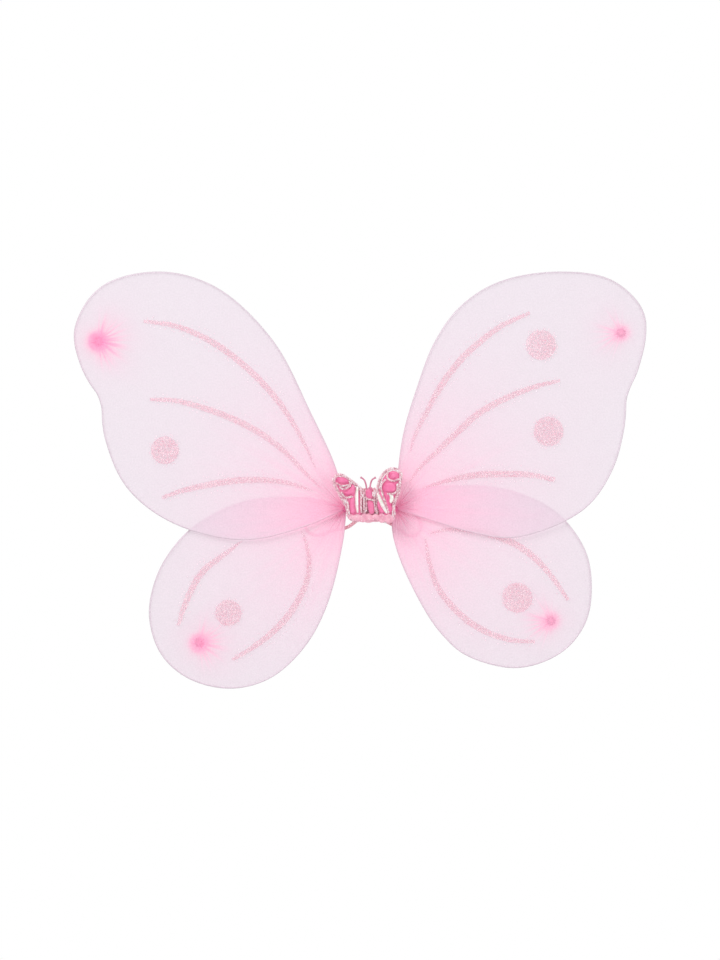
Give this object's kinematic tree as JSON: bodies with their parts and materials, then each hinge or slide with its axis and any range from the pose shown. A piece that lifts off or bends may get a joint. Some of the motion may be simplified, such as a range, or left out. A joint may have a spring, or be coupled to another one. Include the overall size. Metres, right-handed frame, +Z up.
{
  "type": "fairy wings",
  "caption": "Child's costume fairy wings: sheer nylon on bent wire loops, upper and lower on each side of a wrapped centre with a satin butterfly, a back pad and elastic arm loops.",
  "frame": {"origin": "centre of the back pad's rear face, which lies on the wearer's back", "axes": "+X to the right and +Z up seen from the decorated front, +Y out of the back pad towards the wearer"},
  "size_m": [0.4995, 0.0412, 0.3644],
  "materials": {
    "wire_steel": "satin",
    "sheer_nylon": "matte",
    "gathered_nylon": "matte",
    "binding_thread": "matte",
    "pink_satin": "satin",
    "pale_satin": "satin",
    "satin_cord": "satin",
    "glitter_braid": "satin",
    "pink_felt": "matte",
    "covered_elastic": "matte"
  },
  "bodies": {
    "centre": {"left_upper_stem": "wire_steel", "left_lower_stem": "wire_steel", "right_upper_stem": "wire_steel", "right_lower_stem": "wire_steel", "left_lashing": "binding_thread", "butterfly_left_wing": "pink_satin", "butterfly_left_trim": "glitter_braid", "butterfly_left_antenna": "satin_cord", "left_strap": "covered_elastic", "left_strap_hank": "covered_elastic", "right_lashing": "binding_thread", "butterfly_right_wing": "pink_satin", "butterfly_right_trim": "glitter_braid", "butterfly_right_antenna": "satin_cord", "right_strap": "covered_elastic", "right_strap_hank": "covered_elastic", "satin_wrap": "pale_satin", "back_pad": "pink_felt", "butterfly_base": "pale_satin", "butterfly_body": "satin_cord", "strap_tie": "binding_thread"},
    "left_root": {"left_neck_knot": "gathered_nylon"},
    "right_root": {"right_neck_knot": "gathered_nylon"},
    "left_upper_wing": {"left_upper_wire": "wire_steel", "left_upper_sleeve": "sheer_nylon", "left_upper_tip_tie": "binding_thread"},
    "left_lower_wing": {"left_lower_wire": "wire_steel", "left_lower_sleeve": "sheer_nylon", "left_lower_tip_tie": "binding_thread"},
    "right_upper_wing": {"right_upper_wire": "wire_steel", "right_upper_sleeve": "sheer_nylon", "right_upper_tip_tie": "binding_thread"},
    "right_lower_wing": {"right_lower_wire": "wire_steel", "right_lower_sleeve": "sheer_nylon", "right_lower_tip_tie": "binding_thread"}
  },
  "joints": [
    {"name": "left_fold", "type": "hinge", "parent": "centre", "child": "left_root", "pos_m": [-0.022, -0.0083, 0.005], "axis": [0, 0, 1], "range_deg": [0, 45]},
    {"name": "right_fold", "type": "hinge", "parent": "centre", "child": "right_root", "pos_m": [0.022, -0.0083, 0.005], "axis": [0, 0, -1], "range_deg": [0, 45]},
    {"name": "left_upper_swivel", "type": "hinge", "parent": "left_root", "child": "left_upper_wing", "pos_m": [-0.022, -0.0083, 0.005], "axis": [0, 1, 0], "range_deg": [-8, 8]},
    {"name": "left_lower_swivel", "type": "hinge", "parent": "left_root", "child": "left_lower_wing", "pos_m": [-0.022, -0.0083, 0.005], "axis": [0, 1, 0], "range_deg": [-8, 8]},
    {"name": "right_upper_swivel", "type": "hinge", "parent": "right_root", "child": "right_upper_wing", "pos_m": [0.022, -0.0083, 0.005], "axis": [0, -1, 0], "range_deg": [-8, 8]},
    {"name": "right_lower_swivel", "type": "hinge", "parent": "right_root", "child": "right_lower_wing", "pos_m": [0.022, -0.0083, 0.005], "axis": [0, -1, 0], "range_deg": [-8, 8]}
  ]
}
